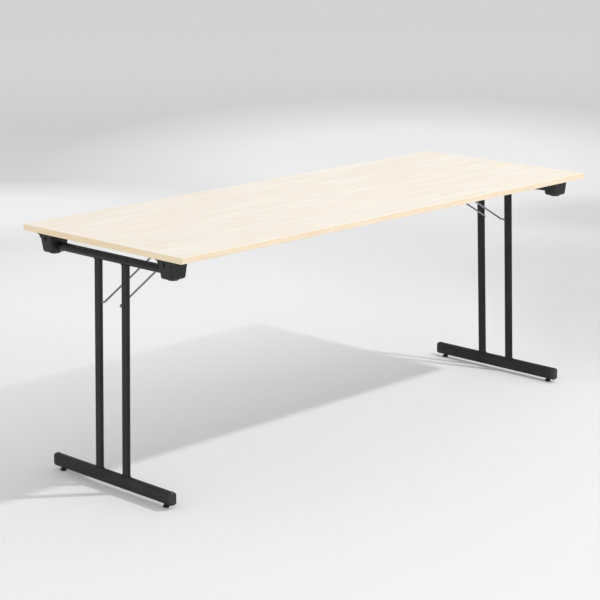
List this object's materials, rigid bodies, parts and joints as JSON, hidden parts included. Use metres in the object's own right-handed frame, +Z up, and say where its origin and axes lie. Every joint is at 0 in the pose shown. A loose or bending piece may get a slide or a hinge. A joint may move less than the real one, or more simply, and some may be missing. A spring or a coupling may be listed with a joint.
{
  "type": "folding table",
  "caption": "Rectangular folding table: a laminated board on T-shaped tubular steel legs that fold flat under it, held open by wire stays, with levelling glides.",
  "frame": {"origin": "on the floor, under the middle of the board", "axes": "+X along the board's length, +Y across it, +Z up"},
  "size_m": [1.8, 0.7, 0.74],
  "materials": {
    "birch_laminate": "matt birch-pattern laminate with faint grain along the board",
    "backing_laminate": "plain pale balancing laminate",
    "birch_edge_strip": "satin plastic edging in birch colour with a rounded outer corner",
    "chipboard_core": "pressed wood chip",
    "black_powder_coat": "semi-matt black powder coat with a faint orange-peel texture",
    "bracket_plastic": "fine-grained moulded black plastic",
    "clip_plastic": "moulded black plastic",
    "cap_plastic": "moulded black plastic",
    "pad_plastic": "hard black plastic, scuffed underneath",
    "stay_wire": "bright plated round wire",
    "zinc_plated_steel": "satin zinc-plated steel"
  },
  "bodies": {
    "table_top": {"board_core": "chipboard_core", "top_laminate": "birch_laminate", "backing_laminate": "backing_laminate", "edge_strip_front": "birch_edge_strip", "edge_strip_back": "birch_edge_strip", "edge_strip_left": "birch_edge_strip", "edge_strip_right": "birch_edge_strip", "corner_bracket_front_left": "bracket_plastic", "corner_bracket_back_left": "bracket_plastic", "corner_bracket_front_right": "bracket_plastic", "corner_bracket_back_right": "bracket_plastic", "bracket_screws": "zinc_plated_steel", "stay_catch_left": "zinc_plated_steel", "stay_catch_right": "zinc_plated_steel", "catch_screws": "zinc_plated_steel", "parking_clip_left": "clip_plastic", "parking_clip_right": "clip_plastic", "clip_screws": "zinc_plated_steel"},
    "leg_left": {"cross_tube_left": "black_powder_coat", "column_front_left": "black_powder_coat", "column_back_left": "black_powder_coat", "foot_tube_left": "black_powder_coat", "foot_cap_front_left": "cap_plastic", "foot_cap_back_left": "cap_plastic", "glide_insert_front_left": "zinc_plated_steel", "glide_insert_back_left": "zinc_plated_steel"},
    "leg_right": {"cross_tube_right": "black_powder_coat", "column_front_right": "black_powder_coat", "column_back_right": "black_powder_coat", "foot_tube_right": "black_powder_coat", "foot_cap_front_right": "cap_plastic", "foot_cap_back_right": "cap_plastic", "glide_insert_front_right": "zinc_plated_steel", "glide_insert_back_right": "zinc_plated_steel"},
    "stay_left": {"wire_stay_left": "stay_wire"},
    "stay_right": {"wire_stay_right": "stay_wire"},
    "glide_front_left": {"glide_stud_front_left": "zinc_plated_steel", "glide_pad_front_left": "pad_plastic"},
    "glide_back_left": {"glide_stud_back_left": "zinc_plated_steel", "glide_pad_back_left": "pad_plastic"},
    "glide_front_right": {"glide_stud_front_right": "zinc_plated_steel", "glide_pad_front_right": "pad_plastic"},
    "glide_back_right": {"glide_stud_back_right": "zinc_plated_steel", "glide_pad_back_right": "pad_plastic"}
  },
  "joints": [
    {"name": "leg_fold_left", "type": "hinge", "parent": "table_top", "child": "leg_left", "pos_m": [-0.8535, 0, 0.683], "axis": [0, -1, 0], "range_deg": [0, 92]},
    {"name": "leg_fold_right", "type": "hinge", "parent": "table_top", "child": "leg_right", "pos_m": [0.8535, 0, 0.683], "axis": [0, 1, 0], "range_deg": [0, 92]},
    {"name": "stay_swing_left", "type": "hinge", "parent": "leg_left", "child": "stay_left", "pos_m": [-0.85825, 0, 0.54708], "axis": [0, -1, 0], "range_deg": [-117, 0]},
    {"name": "stay_swing_right", "type": "hinge", "parent": "leg_right", "child": "stay_right", "pos_m": [0.85825, 0, 0.54708], "axis": [0, 1, 0], "range_deg": [-117, 0]},
    {"name": "glide_height_front_left", "type": "slide", "parent": "leg_left", "child": "glide_front_left", "axis": [0, 0, -1], "range_m": [0, 0.01]},
    {"name": "glide_height_back_left", "type": "slide", "parent": "leg_left", "child": "glide_back_left", "axis": [0, 0, -1], "range_m": [0, 0.01]},
    {"name": "glide_height_front_right", "type": "slide", "parent": "leg_right", "child": "glide_front_right", "axis": [0, 0, -1], "range_m": [0, 0.01]},
    {"name": "glide_height_back_right", "type": "slide", "parent": "leg_right", "child": "glide_back_right", "axis": [0, 0, -1], "range_m": [0, 0.01]}
  ],
  "couplings": [
    {"joint": "stay_swing_left", "follows": "leg_fold_left", "ratio": -1.2717},
    {"joint": "stay_swing_right", "follows": "leg_fold_right", "ratio": -1.2717}
  ]
}
